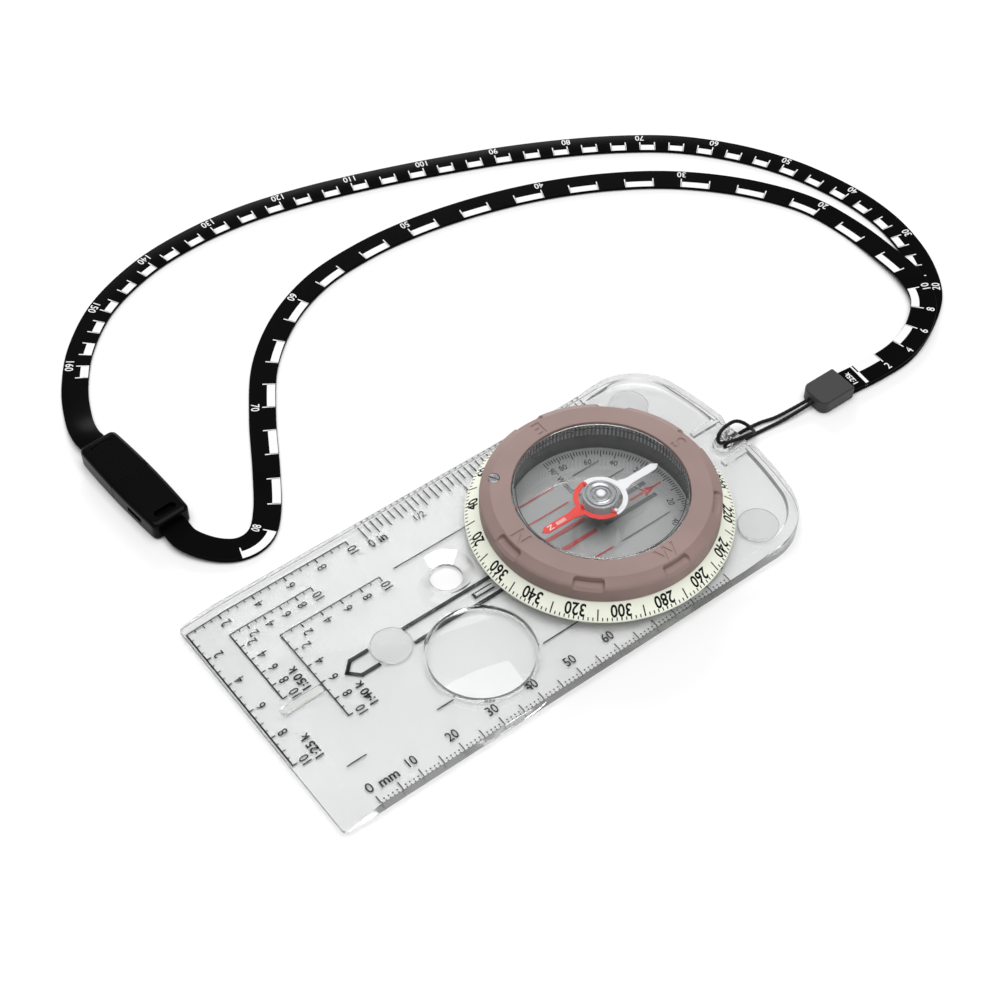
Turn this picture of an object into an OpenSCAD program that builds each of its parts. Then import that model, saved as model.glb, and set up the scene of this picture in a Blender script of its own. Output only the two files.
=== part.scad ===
// Baseplate compass with a lanyard. Millimetres, +Z up.
// X runs across the plate and +Y points along the direction of travel.
// The origin is on the surface that it lies on, under the middle of the plate.

/* [Baseplate] */
// Width of the plate
plate_w = 61; // [60:0.5:64]
// Length of the plate from the romer end to the lanyard end
plate_l = 128; // [126:1:130]
// Thickness of the plate
plate_t = 3; // [2.8:0.1:3.4]
// Radius of the two rear corners
rear_r = 14; // [12:0.5:14]
// Radius of the shallow arc of the rear edge
rear_arc_r = 90; // [80:5:120]
// Length of the bevel at the romer end
bevel_l = 9; // [6:0.5:9]
// Thickness left at the front edge
front_t = 1.15; // [0.8:0.05:1.5]
// Height of the finger lip round the rear
lip_h = 1.2; // [0.6:0.1:1.4]
// Width of the finger lip
lip_w = 2.6; // [2:0.1:3]

/* [Magnifier and stencil hole] */
// Radius of the magnifier
lens_r = 11.3; // [9:0.1:11.5]
// Height of its dome above the plate
lens_rise = 1; // [0.5:0.1:1.5]
// Bore of the stencil hole
stencil_d = 7.2; // [5:0.1:8]
// Diameter of the stencil hole's countersink
stencil_top_d = 12; // [10:0.5:12]

/* [Dial] */
// Outer radius of the dial ring
dial_r = 29.3; // [28.5:0.1:29.5]
// Radius of the grip ring
grip_r = 26.1; // [25.8:0.1:26.4]
// Radius of the opening over the capsule
opening_r = 19.25; // [19:0.05:19.5]
// Height of the grip ring's top above the surface
grip_top_z = 12.4; // [12.3:0.1:12.8]
// Places round the grip ring: one holds the screw and the others are finger pockets
pocket_count = 8; // [4:2:8]
// Width of a finger pocket
pocket_w = 6.3; // [5:0.1:8]

/* [Declination gear] */
// Gear module
gear_m = 0.3; // [0.3:0.01:0.3]
// Teeth on the capsule
gear_teeth = 144; // [144:1:144]
// Teeth on the screw's pinion
pinion_teeth = 10; // [10:1:10]

/* [Needle] */
// Length of the needle from tip to tip
needle_l = 32; // [30:0.5:33]
// Width of its arms
needle_w = 1.9; // [1.5:0.1:2.2]
// Outer radius of its middle ring
needle_ring_r = 5.9; // [5.7:0.1:6.2]

/* [Lanyard] */
// Width of the strap
strap_w = 6.2; // [5:0.1:7]
// Thickness of the strap
strap_t = 0.9; // [0.7:0.1:0.9]
// Diameter of the thin loop cord
loop_d = 0.9; // [0.7:0.1:0.9]
// Width of the clasp
clasp_w = 9.3; // [9:0.1:11]
// Height of the clasp
clasp_h = 4.9; // [4.5:0.1:5.5]

/* [Hidden] */
$fn = 96;

// Heights above the surface
foot_h = 0.4;
plate_top = foot_h + plate_t;
lip_top = plate_top + lip_h;
rear_inner_r = rear_arc_r - rear_r;
arc_y = rear_arc_r - plate_l / 2;
corner_x = plate_w / 2 - rear_r;
corner_y = arc_y - sqrt(pow(rear_inner_r, 2) - pow(corner_x, 2));

// Dial axis
axis_y = -24;
housing_r = 23.5;
counterbore_r = 25.7;
counterbore_z = 1.95;
run_gap = 0.08;
sleeve_r = housing_r - run_gap;
sleeve_in_r = 22;
dial_under_z = plate_top + 0.2;
dial_seat_z = 6.9;

// Capsule
cup_r = 21.3;
cup_in_r = 20.1;
cup_neck_r = 20.9;
cup_z = 1.6;
cup_floor_z = 2.4;
gear_z = 9.2;
cup_top_z = 10.9;
cup_flange_z = 11.4;
lid_r = 18.9;
lid_under_z = 11.4;
lid_top_z = 12.2;
disc_top_z = 2.7;

// Declination gear
gear_r = gear_m * gear_teeth / 2;
pinion_r = gear_m * pinion_teeth / 2;
addendum = 0.25;
dedendum = 0.33;
screw_angle = 45;
screw_offset = gear_r + pinion_r;
shaft_r = 0.55;

// Needle and magnet
needle_z = 9;
needle_t = 0.3;
hub_r = 4;
gimbal_pin_r = 0.3;
gimbal_bore_r = 0.36;

// Fittings on the lanyard
foot_r = 4.5;
foot_recess = 0.8;
lanyard_hole_y = -59.6;
lanyard_hole_r = 2;
ferrule_y = -89.7;
ferrule_x = -2.2;
ferrule_l = 9.6;
ferrule_w = 7.6;
ferrule_h = 3.6;
clasp_a = [54.7, 50.3];
clasp_b = [84.5, 52];
clasp_l = norm(clasp_b - clasp_a);
clasp_angle = atan2(clasp_b[1] - clasp_a[1], clasp_b[0] - clasp_a[0]);
clasp_seam = 16;
strap_low_z = 0.1 + strap_t / 2;
strap_high_z = strap_low_z + strap_t + 0.05;

// Centre line of the outer strand, from the ferrule to the clasp's plug
outer_route = [[-2.2, -94.5, 0.55], [-3, -104, 0.55], [-2.7, -113, 0.55], [0.5, -122, 0.55],
               [6, -131, 0.55], [12.5, -136.2, 0.55], [21, -140, 0.55], [32, -142.2, 0.55],
               [44, -141.7, 0.55], [57, -138.5, 0.55], [68, -133.6, 0.55], [78, -127, 0.55],
               [87, -118.8, 0.55], [95, -108.3, 0.55], [102, -96.8, 0.55], [108.5, -84.2, 0.55],
               [114.2, -71.2, 0.55], [119.5, -57.7, 0.55], [124.2, -44.2, 0.55], [128.2, -30.5, 0.55],
               [131, -16.5, 0.55], [131.7, -2, 0.55], [129.8, 13, 0.55], [124, 27.8, 0.55],
               [115, 39, 0.55], [105, 46.4, 0.55], [96, 50.6, 0.8], [89.5, 52.3, 1.7],
               [84.5, 52, 1.9]];
// Centre line of the inner strand, from the ferrule to the clasp's socket
inner_route = [[-2.2, -94.5, 1.5], [-3, -104, 1.5], [-2.6, -113, 1.5], [0.3, -121.5, 1.5],
               [6, -128.8, 1.5], [14, -132.2, 1.5], [24, -133.3, 1], [36, -133.3, 0.55],
               [48, -131, 0.55], [59, -125.3, 0.55], [69, -117.5, 0.55], [78, -107.8, 0.55],
               [85.2, -97, 0.55], [91, -85.7, 0.55], [95.6, -73.8, 0.55], [99.2, -60.7, 0.55],
               [101.5, -47, 0.55], [102.1, -33, 0.55], [100.2, -18, 0.55], [94.2, -4.3, 0.55],
               [84.2, 7.7, 0.55], [71, 17, 0.55], [57, 25.1, 0.55], [47.2, 31.2, 0.55],
               [42, 36.2, 0.55], [41.3, 41.6, 0.6], [44.3, 46.4, 1], [49.7, 50, 1.7],
               [54.7, 50.3, 1.9]];
// Centre line of the loop cord: ferrule, lark's head over the rear edge, ferrule
loop_route = [[-1.2, -84.9, 1.6], [-0.8, -80, 1.2], [-0.2, -75.5, 0.8], [0.9, -71.5, 0.6],
              [1.3, -67, 0.55], [1.2, -62.6, 0.55], [1.2, -60.4, 1.1], [1.3, -59.4, 2.4],
              [1.7, -59.8, 3.9], [2.4, -62, 4.2], [2.6, -65.2, 3.9], [1.9, -67.4, 2.6],
              [0, -68.3, 1.7], [-1.7, -67.4, 2.6], [-2.3, -65.2, 3.9], [-2, -62, 4.2],
              [-1.3, -59.8, 3.9], [-0.9, -59.4, 2.4], [-0.8, -60.4, 1.1], [-0.8, -62.6, 0.55],
              [-0.9, -67, 0.55], [-1.3, -71.5, 0.6], [-1.8, -75.5, 0.8], [-2.2, -80, 1.2],
              [-2.4, -84.9, 1.6]];

// Direction along a route at point i. An end at the clasp is square to the clasp.
function tangent(route, i) =
    let (a = route[max(i - 1, 0)], b = route[min(i + 1, len(route) - 1)], end = route[i])
    norm(end - [clasp_a[0], clasp_a[1], end[2]]) < 0.01 ? [cos(clasp_angle), sin(clasp_angle), 0]
    : norm(end - [clasp_b[0], clasp_b[1], end[2]]) < 0.01 ? [-cos(clasp_angle), -sin(clasp_angle), 0]
    : (b - a) / norm(b - a);

// Unit vector u with its part along t taken out
function squared_off(u, t) =
    let (v = u - t * (u * t))
    v / norm(v);

// Side vectors carried along a route without twist, starting from side
function carried(route, side, i = 0) =
    let (s = squared_off(side, tangent(route, i)))
    i == len(route) - 1 ? [s] : concat([s], carried(route, s, i + 1));

// One polyhedron that sweeps the closed section profile along a route
module sweep(route, profile, sides) {
    n = len(profile);
    points = [for (i = [0:len(route) - 1])
        let (t = tangent(route, i), s = sides[i], u = cross(t, s))
        for (p = profile) route[i] + s * p[0] + u * p[1]];
    faces = concat(
        [[for (k = [0:n - 1]) k]],
        [for (i = [0:len(route) - 2], k = [0:n - 1])
            let (a = i * n, b = a + n, k2 = (k + 1) % n)
            each [[a + k, b + k, a + k2], [a + k2, b + k, b + k2]]],
        [[for (k = [n - 1:-1:0]) (len(route) - 1) * n + k]]);
    polyhedron(points, faces);
}

// Outline of the plate, drawn in by inset
module plate_outline(inset = 0) {
    half_w = plate_w / 2 - inset;
    arc_r = rear_arc_r - inset;
    reach = rear_arc_r * 1.2 / rear_inner_r;
    translate([-half_w, corner_y])
        square([2 * half_w, plate_l / 2 - corner_y]);
    for (side = [-1, 1])
        translate([side * corner_x, corner_y])
            circle(rear_r - inset);
    intersection() {
        translate([0, arc_y])
            circle(arc_r, $fn = 360);
        polygon([[0, arc_y],
                 [-corner_x * reach, arc_y + (corner_y - arc_y) * reach],
                 [corner_x * reach, arc_y + (corner_y - arc_y) * reach]]);
    }
}

// A solid whose side view is the polygon yz, width w across X
module side_profile(yz, w) {
    rotate([90, 0, 90])
        translate([0, 0, -w / 2])
            linear_extrude(w)
                polygon(yz);
}

module finger_lip() {
    channel = 9;
    fade_y = -38;
    full_y = -52;
    difference() {
        intersection() {
            translate([0, 0, foot_h])
                linear_extrude(plate_t + lip_h)
                    difference() {
                        plate_outline();
                        plate_outline(lip_w);
                    }
            side_profile([[-80, plate_top - 1], [-80, lip_top], [full_y, lip_top],
                          [fade_y, plate_top], [fade_y, plate_top - 1]], 80);
        }
        translate([-channel / 2, -70, 0])
            cube([channel, 20, 10]);
    }
    for (side = [-1, 1])
        translate([side * (channel / 2 + 0.8) - 0.8, -62.5, plate_top - 1])
            cube([1.6, 7.7, lip_h + 0.7]);
}

module magnifier() {
    sphere_r = (pow(lens_r, 2) + pow(lens_rise + 0.2, 2)) / (2 * (lens_rise + 0.2));
    intersection() {
        translate([0, 0, plate_top + lens_rise - sphere_r])
            sphere(sphere_r, $fn = 200);
        translate([0, 0, foot_h + 0.5])
            cylinder(h = plate_t + 2, r = lens_r);
    }
}

module baseplate() {
    lens_at = [-13.4, 18.1, 0];
    color([0.92, 0.94, 0.94, 0.5])
        difference() {
            union() {
                difference() {
                    union() {
                        translate([0, 0, foot_h])
                            linear_extrude(plate_t)
                                plate_outline();
                        finger_lip();
                    }
                    translate(lens_at)
                        translate([0, 0, foot_h + 1])
                            cylinder(h = plate_t, r = lens_r + 0.6);
                }
                translate(lens_at)
                    magnifier();
            }
            // Bevel at the romer end
            side_profile([[plate_l / 2 - bevel_l, plate_top], [plate_l / 2 + 1, foot_h + front_t - 0.2],
                          [plate_l / 2 + 1, plate_top + 1], [plate_l / 2 - bevel_l, plate_top + 1]],
                         plate_w + 2);
            // Seat of the dial
            translate([0, axis_y, 0]) {
                cylinder(h = 10, r = housing_r);
                cylinder(h = counterbore_z, r = counterbore_r);
            }
            // Stencil hole
            translate([7.9, 11.5, 0]) {
                cylinder(h = 10, d = stencil_d);
                translate([0, 0, foot_h + 1])
                    cylinder(h = plate_t - 1, d1 = stencil_d, d2 = stencil_top_d);
            }
            // Recesses of the feet
            for (at = foot_places())
                translate([at[0], at[1], 0])
                    cylinder(h = foot_h + foot_recess, r = foot_r);
            // Groove of the luminous strip
            translate([-0.95, 48.3, 0])
                cube([1.9, 9.8, foot_h + 0.7]);
            // Lanyard hole, and a channel under the edge for the cord
            translate([0, lanyard_hole_y, 0])
                cylinder(h = 10, r = lanyard_hole_r);
            translate([-2.5, -70, 0])
                cube([5, 70 + lanyard_hole_y, 1.5]);
        }
}

function foot_places() = [[0, 31.3], [-22, -50.5], [22, -50.5]];

module foot(at) {
    color([0.85, 0.87, 0.87])
        translate([at[0], at[1], 0]) {
            cylinder(h = 0.3, r1 = foot_r - 0.5, r2 = foot_r - 0.1);
            translate([0, 0, 0.3])
                cylinder(h = foot_h + foot_recess - 0.3, r = foot_r - 0.05);
        }
}

module foot_front() {
    foot(foot_places()[0]);
}

module foot_rear_left() {
    foot(foot_places()[1]);
}

module foot_rear_right() {
    foot(foot_places()[2]);
}

module luminous_strip() {
    color([0.9, 0.92, 0.85])
        translate([-0.9, 48.4, foot_h])
            cube([1.8, 9.6, 0.7]);
}

// A solid of revolution on the dial's axis from its (radius, height) outline
module lathe(outline) {
    translate([0, axis_y, 0])
        rotate_extrude($fn = 180)
            polygon(outline);
}

// One finger pocket: open at the top and the side, with a chamfered lip
module pocket_cut() {
    wall_r = 24.2;
    floor_z = 11.1;
    lip = 0.5;
    translate([0, pocket_w / 2, 0])
        rotate([90, 0, 0])
            linear_extrude(pocket_w)
                polygon([[wall_r, grip_top_z + 1], [wall_r, floor_z], [grip_r - lip, floor_z],
                         [grip_r + lip, floor_z - 2 * lip], [grip_r + 2, floor_z - 2 * lip],
                         [grip_r + 2, grip_top_z + 1]]);
}

module grip_ring() {
    cavity_r = 22.2;
    ceiling_z = grip_top_z - 0.7;
    ledge_z = 9;
    shoulder_z = 10.9;
    color([0.68, 0.58, 0.55])
        difference() {
            lathe([[opening_r, ceiling_z], [opening_r, grip_top_z - 0.1],
                   [opening_r + 0.1, grip_top_z], [23.4, grip_top_z], [23.9, grip_top_z - 0.08],
                   [24.9, grip_top_z - 0.42], [25.6, grip_top_z - 0.82], [grip_r - 0.12, shoulder_z + 0.25],
                   [grip_r, shoulder_z], [grip_r, dial_seat_z + 0.2], [grip_r - 0.15, dial_seat_z],
                   [sleeve_in_r, dial_seat_z], [sleeve_in_r, ledge_z], [cavity_r, ledge_z],
                   [cavity_r, ceiling_z]]);
            translate([0, axis_y, 0])
                for (i = [1:pocket_count - 1])
                    rotate([0, 0, screw_angle + i * 360 / pocket_count])
                        pocket_cut();
            // Room for the pinion, its lower journal and the screw's head
            translate(screw_place()) {
                translate([0, 0, ledge_z])
                    cylinder(h = ceiling_z - ledge_z, r = pinion_r + addendum + 0.2);
                translate([0, 0, 7.5])
                    cylinder(h = 2, r = shaft_r + 0.07);
                translate([0, 0, ceiling_z - 0.1])
                    cylinder(h = 2, r = 1.28);
            }
        }
}

function screw_place() =
    [screw_offset * cos(screw_angle), axis_y + screw_offset * sin(screw_angle), 0];

module dial_ring() {
    color([0.91, 0.93, 0.85])
        lathe([[sleeve_in_r, 0.7], [sleeve_r, 0.7], [sleeve_r, dial_under_z],
               [dial_r - 0.3, dial_under_z], [dial_r, dial_under_z + 0.3],
               [dial_r, dial_under_z + 0.6], [grip_r - 0.2, dial_seat_z],
               [sleeve_in_r, dial_seat_z]]);
}

module retaining_ring() {
    color([0.15, 0.15, 0.15])
        lathe([[sleeve_r, 0.7], [25.2, 0.7], [25.4, 0.9], [25.4, 1.75], [sleeve_r, 1.75]]);
}

module bearing_ring() {
    color([0.1, 0.1, 0.1])
        lathe([[cup_r + run_gap, 1.4], [sleeve_in_r, 1.4], [sleeve_in_r, 9],
               [cup_r + run_gap, 9]]);
}

module scale_disc() {
    color([0.8, 0.8, 0.8])
        translate([0, axis_y, 0.8])
            cylinder(h = 0.6, r = sleeve_in_r);
}

module capsule_cup() {
    color([0.85, 0.87, 0.88, 0.4])
        lathe([[0, cup_z], [cup_r, cup_z], [cup_r, gear_z - 0.1], [cup_neck_r, gear_z - 0.1],
               [cup_neck_r, cup_top_z], [20.7, cup_top_z], [20.7, cup_top_z - 0.4],
               [20.3, cup_top_z - 0.4], [20.3, cup_top_z], [cup_in_r, cup_top_z],
               [cup_in_r, cup_floor_z], [0, cup_floor_z]]);
}

module capsule_seal() {
    color([0.08, 0.08, 0.08])
        lathe([[20.3, cup_top_z - 0.4], [20.7, cup_top_z - 0.4], [20.7, cup_top_z],
               [20.3, cup_top_z]]);
}

module capsule_lid() {
    wall_r = 18.2;
    flange_r = 21.7;
    color([0.9, 0.92, 0.93, 0.3])
        lathe([[0, lid_under_z], [wall_r, lid_under_z], [wall_r, cup_top_z],
               [flange_r, cup_top_z], [flange_r, cup_flange_z], [lid_r, cup_flange_z],
               [lid_r, lid_top_z - 0.15], [lid_r - 0.15, lid_top_z], [0, lid_top_z]]);
}

// Outline of a gear: each tooth is a trapezium on the root circle
function gear_outline(teeth, pitch_r) =
    let (step = 360 / teeth, root = pitch_r - dedendum, tip = pitch_r + addendum)
    [for (i = [0:teeth - 1])
        each [for (corner = [[root, -0.26], [tip, -0.11], [tip, 0.11], [root, 0.26]])
            corner[0] * [cos((i + corner[1]) * step), sin((i + corner[1]) * step)]]];

module capsule_gear() {
    color([0.3, 0.3, 0.32])
        translate([0, axis_y, gear_z])
            linear_extrude(1.6)
                difference() {
                    polygon(gear_outline(gear_teeth, gear_r));
                    circle(cup_neck_r, $fn = 180);
                }
}

module orienting_disc() {
    color([0.75, 0.75, 0.76])
        translate([0, axis_y, cup_floor_z])
            difference() {
                cylinder(h = disc_top_z - cup_floor_z, r = cup_in_r - 0.1);
                translate([0, 0, -1])
                    cylinder(h = 3, r = 1.2);
            }
}

module pivot_pin() {
    color("silver")
        lathe([[0, cup_floor_z], [1.2, cup_floor_z], [1.2, 3.1], [0.9, 3.4], [0.4, 3.4],
               [0.4, 8.5], [0.06, 9.3], [0, 9.3]]);
}

module declination_screw() {
    slot_w = 0.4;
    color("silver")
        translate(screw_place())
            difference() {
                union() {
                    translate([0, 0, 7.7])
                        cylinder(h = 3.4, r = shaft_r);
                    translate([0, 0, 11])
                        cylinder(h = 1.3, r = 1.2);
                }
                rotate([0, 0, 30])
                    translate([-2, -slot_w / 2, 11.9])
                        cube([4, slot_w, 1]);
            }
}

module screw_pinion() {
    gap_turn = -9;
    color([0.8, 0.68, 0.35])
        translate(screw_place())
            translate([0, 0, gear_z + 0.1])
                linear_extrude(1.4)
                    difference() {
                        rotate(gap_turn)
                            polygon(gear_outline(pinion_teeth, pinion_r));
                        circle(shaft_r);
                    }
}

module magnet_housing() {
    color([0.82, 0.83, 0.84])
        translate([0, axis_y, 0]) {
            difference() {
                union() {
                    translate([0, 0, 6.6])
                        cylinder(h = 3.3, r = hub_r);
                    // Stub pins of the needle's gimbal
                    for (side = [-1, 1])
                        translate([side * (hub_r - 0.2), 0, needle_z])
                            rotate([0, side * 90, 0])
                                cylinder(h = 1.5, r = gimbal_pin_r);
                }
                cylinder(h = 9, r = 1);
                translate([0, 0, 7.1])
                    cylinder(h = 1.3, r = 3.4);
                translate([0, 0, 8.9])
                    cylinder(h = 2, r = 0.9);
            }
        }
}

module magnet() {
    color([0.25, 0.25, 0.27])
        translate([0, axis_y, 7.1])
            difference() {
                cylinder(h = 1.3, r = 3.4);
                translate([0, 0, -1])
                    cylinder(h = 4, r = 1.3);
            }
}

module jewel_bearing() {
    color([0.75, 0.1, 0.2])
        lathe([[0.9, 8.9], [0.9, 9.9], [0, 9.9], [0, 9.36], [0.45, 8.9]]);
}

module hub_cap() {
    color([0.93, 0.95, 0.96, 0.6])
        lathe([[0, 9.9], [hub_r, 9.9], [hub_r, 10.15], [3.7, 10.3], [3.1, 10.3], [2.9, 10.6],
               [2.2, 10.6], [2, 10.85], [1.5, 10.9], [1.1, 10.75], [0.9, 10.9], [0, 10.9]]);
}

module needle() {
    inner_r = needle_ring_r - 1.15;
    tip = needle_l / 2;
    shoulder = tip - 1.3;
    half = needle_w / 2;
    color([0.86, 0.2, 0.14])
        translate([0, axis_y, 0])
            difference() {
                union() {
                    translate([0, 0, needle_z - needle_t / 2])
                        linear_extrude(needle_t)
                            difference() {
                                union() {
                                    circle(needle_ring_r);
                                    polygon([[-half, -shoulder], [0, -tip], [half, -shoulder],
                                             [half, shoulder], [0, tip], [-half, shoulder]]);
                                }
                                circle(inner_r);
                            }
                    // Bosses that turn on the housing's stub pins
                    for (side = [-1, 1])
                        translate([side * 4.85 - 0.45, -0.6, needle_z - 0.5])
                            cube([0.9, 1.2, 1]);
                }
                translate([-10, 0, needle_z])
                    rotate([0, 90, 0])
                        cylinder(h = 20, r = gimbal_bore_r);
            }
}

// Section of the strap: a flat band with its corners cut
function strap_profile() =
    let (w = strap_w / 2, t = strap_t / 2, c = 0.3)
    [[w, -t + c], [w, t - c], [w - c, t], [-w + c, t], [-w, t - c], [-w, -t + c], [-w + c, -t], [w - c, -t]];

function cord_profile(d) = [for (i = [0:7]) d / 2 * [cos(i * 45), sin(i * 45)]];

// The strap's width stays level, so its side vector is square to Z
function level_sides(route) =
    [for (i = [0:len(route) - 1])
        let (t = tangent(route, i)) cross(t, [0, 0, 1]) / norm(cross(t, [0, 0, 1]))];

module lanyard_loop() {
    color([0.12, 0.12, 0.12])
        sweep(loop_route, cord_profile(loop_d), carried(loop_route, [1, 0, 0]));
}

module strap_inner() {
    color([0.08, 0.08, 0.08])
        sweep(inner_route, strap_profile(), level_sides(inner_route));
}

module strap_outer() {
    color([0.08, 0.08, 0.08])
        sweep(outer_route, strap_profile(), level_sides(outer_route));
}

module lanyard_ferrule() {
    corner = 2;
    color([0.2, 0.2, 0.2])
        translate([ferrule_x, ferrule_y, 0.05])
            linear_extrude(ferrule_h - 0.05) {
                translate([-ferrule_w / 2, -ferrule_l / 2])
                    square([ferrule_w, ferrule_l - corner]);
                translate([-ferrule_w / 2 + corner, -ferrule_l / 2])
                    square([ferrule_w - 2 * corner, ferrule_l]);
                for (side = [-1, 1])
                    translate([side * (ferrule_w / 2 - corner), ferrule_l / 2 - corner])
                        circle(corner);
            }
}

// The clasp's frame: X runs from the socket's end to the plug's end
module clasp_frame() {
    translate([clasp_a[0], clasp_a[1], 0.1])
        rotate([0, 0, clasp_angle])
            children();
}

// Side outline of a half clasp from x0 to x1, in the clasp's frame
module clasp_block(x0, x1, chamfer0, chamfer1) {
    half = clasp_w / 2;
    h = clasp_h - 0.1;
    linear_extrude(h)
        polygon([[x0, -half + chamfer0], [x0 + chamfer0, -half], [x1 - chamfer1, -half],
                 [x1, -half + chamfer1], [x1, half - chamfer1], [x1 - chamfer1, half],
                 [x0 + chamfer0, half], [x0, half - chamfer0]]);
}

module clasp_socket() {
    tongue_l = 10.3;
    color([0.1, 0.1, 0.1])
        clasp_frame()
            difference() {
                clasp_block(0, clasp_seam, 1, 0);
                // Room for the plug's tongue
                translate([clasp_seam - tongue_l, -3.1, 1.2])
                    cube([tongue_l + 1, 6.2, 2.6]);
                // Slot in the top, and windows in the sides
                translate([1.8, -2.5, 3.4])
                    cube([1.7, 5, 5]);
                translate([5.2, -10, 1.6])
                    cube([5, 20, 1.4]);
            }
}

module clasp_plug() {
    color([0.1, 0.1, 0.1])
        clasp_frame() {
            difference() {
                clasp_block(clasp_seam + 0.1, clasp_l, 0, 1);
                translate([clasp_l - 2.2, -2.6, clasp_h - 0.4])
                    cube([0.5, 5.2, 1]);
            }
            // Tongue that snaps into the socket
            translate([clasp_seam - 9.8, -2.8, 1.5])
                cube([10.5, 5.6, 2]);
        }
}

baseplate();
foot_front();
foot_rear_left();
foot_rear_right();
luminous_strip();
grip_ring();
dial_ring();
retaining_ring();
bearing_ring();
scale_disc();
capsule_cup();
capsule_lid();
capsule_seal();
capsule_gear();
orienting_disc();
pivot_pin();
declination_screw();
screw_pinion();
magnet_housing();
magnet();
jewel_bearing();
hub_cap();
needle();
lanyard_loop();
lanyard_ferrule();
strap_inner();
strap_outer();
clasp_socket();
clasp_plug();
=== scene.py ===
import math
import bmesh
import bpy
import numpy as np
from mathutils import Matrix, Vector


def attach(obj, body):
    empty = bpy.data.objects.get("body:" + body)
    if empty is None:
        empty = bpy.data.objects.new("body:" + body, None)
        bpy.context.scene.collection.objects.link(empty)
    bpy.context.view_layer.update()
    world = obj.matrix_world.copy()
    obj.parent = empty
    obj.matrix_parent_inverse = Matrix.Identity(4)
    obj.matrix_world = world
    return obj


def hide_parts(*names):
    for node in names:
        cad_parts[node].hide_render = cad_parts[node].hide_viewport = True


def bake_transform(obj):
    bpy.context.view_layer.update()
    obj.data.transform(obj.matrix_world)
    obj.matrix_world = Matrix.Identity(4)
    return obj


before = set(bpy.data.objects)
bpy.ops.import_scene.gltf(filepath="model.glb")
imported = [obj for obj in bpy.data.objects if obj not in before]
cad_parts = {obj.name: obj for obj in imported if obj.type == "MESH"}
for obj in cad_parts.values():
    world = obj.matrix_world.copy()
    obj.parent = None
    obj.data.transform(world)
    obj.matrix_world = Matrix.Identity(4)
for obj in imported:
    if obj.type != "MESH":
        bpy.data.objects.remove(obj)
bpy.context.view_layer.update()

MM = 0.001
TAU = 2 * math.pi
AXIS = (0.0, -24.0)            # where the dial, the capsule and the needle turn
SCREW_AT = (16.334, -7.666)    # the declination screw in the grip ring
SHARP = 35                     # edges that turn by more degrees are shaded sharp
INK_T = 0.03                   # thickness of print on an open surface


def link(obj):
    bpy.context.collection.objects.link(obj)
    return obj


def aim(obj, direction):
    """Turns a camera or lamp to look along a direction, with its top upwards."""
    obj.rotation_euler = Vector(direction).to_track_quat("-Z", "Y").to_euler()


# ---- camera
# Its place, direction and lens are fitted to the scales and corners of the photographed plate.
camera = link(bpy.data.objects.new("camera", bpy.data.cameras.new("camera")))
camera.data.lens = 72.08
camera.data.sensor_width = 36
camera.data.clip_start = 0.01
camera.location = (-0.2062, 0.1604, 0.3381)
aim(camera, (0.5104, -0.3893, -0.7668))
bpy.context.scene.camera = camera


# ---- mesh helpers
def finish_mesh(obj, angle=SHARP):
    """Smooth shading with sharp edges above an angle. Level faces stay flat."""
    level = 0.99999
    for p in obj.data.polygons:
        p.use_smooth = abs(p.normal.z) < level
    obj.data.set_sharp_from_angle(angle=math.radians(angle))
    return obj


def make(name, verts, faces, angle=SHARP):
    """A mesh object from points in millimetres."""
    mesh = bpy.data.meshes.new(name)
    mesh.from_pydata([tuple(float(c) * MM for c in v) for v in verts], [], faces)
    mesh.validate()
    bm = bmesh.new()
    bm.from_mesh(mesh)
    bmesh.ops.recalc_face_normals(bm, faces=bm.faces)
    bm.to_mesh(mesh)
    bm.free()
    mesh.update()
    return finish_mesh(link(bpy.data.objects.new(name, mesh)), angle)


def bake_modifiers(obj):
    """Puts the modified mesh in place of the first one, and drops the modifiers."""
    dg = bpy.context.evaluated_depsgraph_get()
    dg.update()
    mesh = bpy.data.meshes.new_from_object(obj.evaluated_get(dg))
    obj.modifiers.clear()
    obj.data = mesh
    return finish_mesh(obj)


def boolean(obj, cutters, mode="DIFFERENCE"):
    """Cuts the cutters out of a mesh, or joins them to it, and deletes them."""
    for c in cutters:
        m = obj.modifiers.new("cut", "BOOLEAN")
        m.operation = mode
        m.solver = "EXACT"
        m.object = c
    bake_modifiers(obj)
    for c in cutters:
        bpy.data.objects.remove(c)
    return obj


def bevel(obj, width, segments=2, angle=SHARP):
    """Rounds the edges that are sharper than an angle, width in millimetres."""
    m = obj.modifiers.new("bevel", "BEVEL")
    m.width = width * MM
    m.segments = segments
    m.limit_method = "ANGLE"
    m.angle_limit = math.radians(angle)
    m.use_clamp_overlap = True
    return bake_modifiers(obj)


def fillet(points, radius, steps=3):
    """Rounds the corners of a closed 2D outline. Corners on the axis x = 0 stay sharp."""
    share = 0.42    # the most of an edge that one of its two corners may take
    out = []
    n = len(points)
    for i, p in enumerate(points):
        p = np.array(p, float)
        a, b = np.array(points[i - 1], float), np.array(points[(i + 1) % n], float)
        la, lb = np.linalg.norm(a - p), np.linalg.norm(b - p)
        r = min(radius, share * la, share * lb)
        if p[0] < 1e-6 or r < 1e-4:
            out.append(tuple(p))
            continue
        pa, pb = p + (a - p) * r / la, p + (b - p) * r / lb
        for k in range(steps + 1):
            t = k / steps
            out.append(tuple((1 - t) ** 2 * pa + 2 * t * (1 - t) * p + t * t * pb))
    return out


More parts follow.
